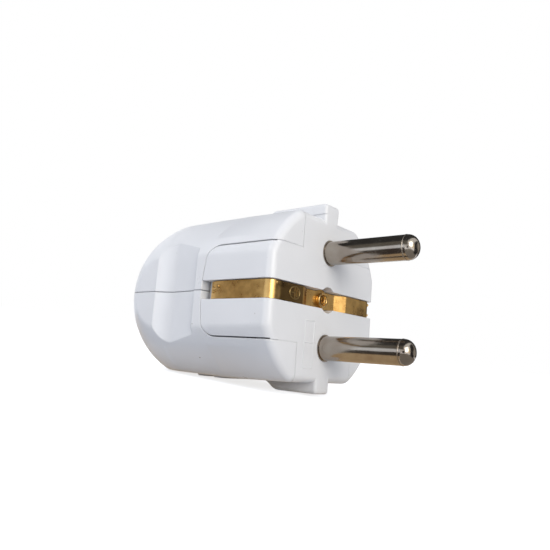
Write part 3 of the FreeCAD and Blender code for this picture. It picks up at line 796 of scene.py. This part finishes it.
soft_light("key", (0.87, -0.38, 0.32), distance=0.5, size=0.3, watts=1.53, code="#FFFAF2")
soft_light("fill", (-0.33, -0.62, 0.72), distance=0.2, size=0.14, watts=0.16, code="#F0F4FD",
           mirrored=False)
soft_light("top", (0.1, 0.15, 1.0), distance=0.6, size=0.5, watts=0.45, code="#F8FAFF", mirrored=False)
soft_light("rear", (-0.75, 0.6, 0.3), distance=0.6, size=0.5, watts=0.8, code="#FFFFFF", mirrored=False)

# %% [markdown]
# ## Cards for the metal
# Polished metal shows the room and little of its own, and in an all-white room it looks flat. A
# photographer stands cards of different tones round it. These cards are only there for reflections:
# they block no light and the camera doesn't see them. A pin shows them as bands along its length: dark
# cards above and behind, a pale strip beside greyer cards on the left, and three mats on the table.
# Small dark cards stand beside the tips and near the camera, and the strap's far ramp shows a bright
# one.


# %% Cards round the plug
def card(name, centre, facing, size, code, glow=1.0):
    """Plane that only reflections see, with its size across and upwards, all in millimetres."""
    bpy.ops.object.select_all(action="DESELECT")
    bpy.ops.mesh.primitive_plane_add(size=1, location=Vector(centre) * MM,
                                     rotation=Vector(facing).to_track_quat("Z", "Y").to_euler())
    made = bpy.context.object
    made.name = name
    made.scale = (size[0] * MM, size[1] * MM, 1)
    bpy.ops.object.transform_apply(location=True, rotation=True, scale=True)
    made.visible_camera = False
    made.visible_diffuse = False
    made.visible_shadow = False
    made.visible_transmission = False
    paint, _, shader, _ = new_material(f"card_paint_{name}")
    shader.inputs["Base Color"].default_value = linear("#000000")
    shader.inputs["Specular IOR Level"].default_value = 0.0
    shader.inputs["Emission Color"].default_value = linear(code)
    shader.inputs["Emission Strength"].default_value = glow
    made.data.materials.append(paint)
    made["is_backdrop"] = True
    print(name, "is", size[0], "by", size[1], "mm")


card("ceiling_card", (-60, -5, 130), (0, 0.01, -1), (280, 280), "#454546")
card("back_card", (-40, 115, 60), (0, -1, 0), (210, 170), "#4C4C4D")
card("right_card", (86, 124, 18), (-0.56, -0.81, -0.12), (90, 100), "#D4CEC4")
card("pale_strip", (-28, -100, 11), (0, 1, 0), (64, 44), "#EAF1FC", glow=1.35)
card("left_card", (-130, -100, 11), (0, 1, 0), (140, 44), "#9C9184")
card("half_card", (-60, -104, 80), (0, 1, 0), (280, 96), "#7B7872")

# %% Mats on the table
MAT_LIFT = 0.3
MAT_REAR = -140
MAT_EDGE = 14
MAT_FRONT = 110


def table_mat(name, x_range, y_range, code):
    """Mat just above the table, seen by reflections only."""
    x = sum(x_range) / 2
    z = rib_end.z / MM - (x - rib_end.x / MM) * math.tan(tilt) + MAT_LIFT
    card(name, (x, sum(y_range) / 2, z), (math.sin(tilt), 0, math.cos(tilt)),
         (y_range[1] - y_range[0], x_range[1] - x_range[0]), code)


table_mat("dark_mat", (MAT_REAR, MAT_EDGE), (-140, -16), "#57514D")
table_mat("warm_mat", (MAT_REAR, MAT_EDGE), (-16, 60), "#D6BD9A")
table_mat("grey_mat", (MAT_EDGE, MAT_FRONT), (-60, 60), "#A29E98")

# %% Cards for the tips and the strap
card("tip_card", (54, 29, 0), (-0.78, -0.62, 0), (38, 70), "#3A3A3C")
card("lens_card", (80, -113, -16), (-0.57, 0.81, 0.115), (50, 60), "#161616")
card("bright_card", (392, 24, 48), (-0.98, -0.06, -0.12), (120, 200), "#FFECC8", glow=1.3)

# %% [markdown]
# ## Camera
# The plug is seen from its right front, a little from below, close enough for strong perspective. A
# camera could be aimed by eye, but the two straight pins have a known size and spacing. The place, the
# viewing direction and the roll come from fitting them.

# %% Camera
SENSOR = 36.0
LENS = 36.31
camera_place = Vector((63.47, -90.25, -12.78)) * MM
looking = Vector((-0.64539, 0.74826, 0.15352))
rightwards = Vector((0.76269, 0.64235, 0.07549))
upwards = rightwards.cross(looking)
camera_data = bpy.data.cameras.new("camera")
camera_data.sensor_width = SENSOR
camera_data.lens = LENS
camera_data.clip_start = MM
camera = bpy.data.objects.new("camera", camera_data)
bpy.context.scene.collection.objects.link(camera)
turn = Matrix((rightwards, upwards, -looking)).transposed()
camera.matrix_world = Matrix.Translation(camera_place) @ turn.to_4x4()
bpy.context.scene.camera = camera
bpy.context.scene.view_settings.view_transform = "Standard"
print("camera is", round(camera_place.length / MM), "mm from the engagement face")

# %% [markdown]
# Dressing the plug must not change its size. The code could be trusted for that, but a measurement is
# safer. The box round the dressed plug is measured and compared with the box of the imported solids, and
# the largest difference is printed.

# %% Compare the boxes and finish
seen_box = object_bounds()
difference = max((seen - packed).length for seen, packed in zip(seen_box, cad_box))
print("the two boxes differ by", round(difference / MM, 4), "mm")
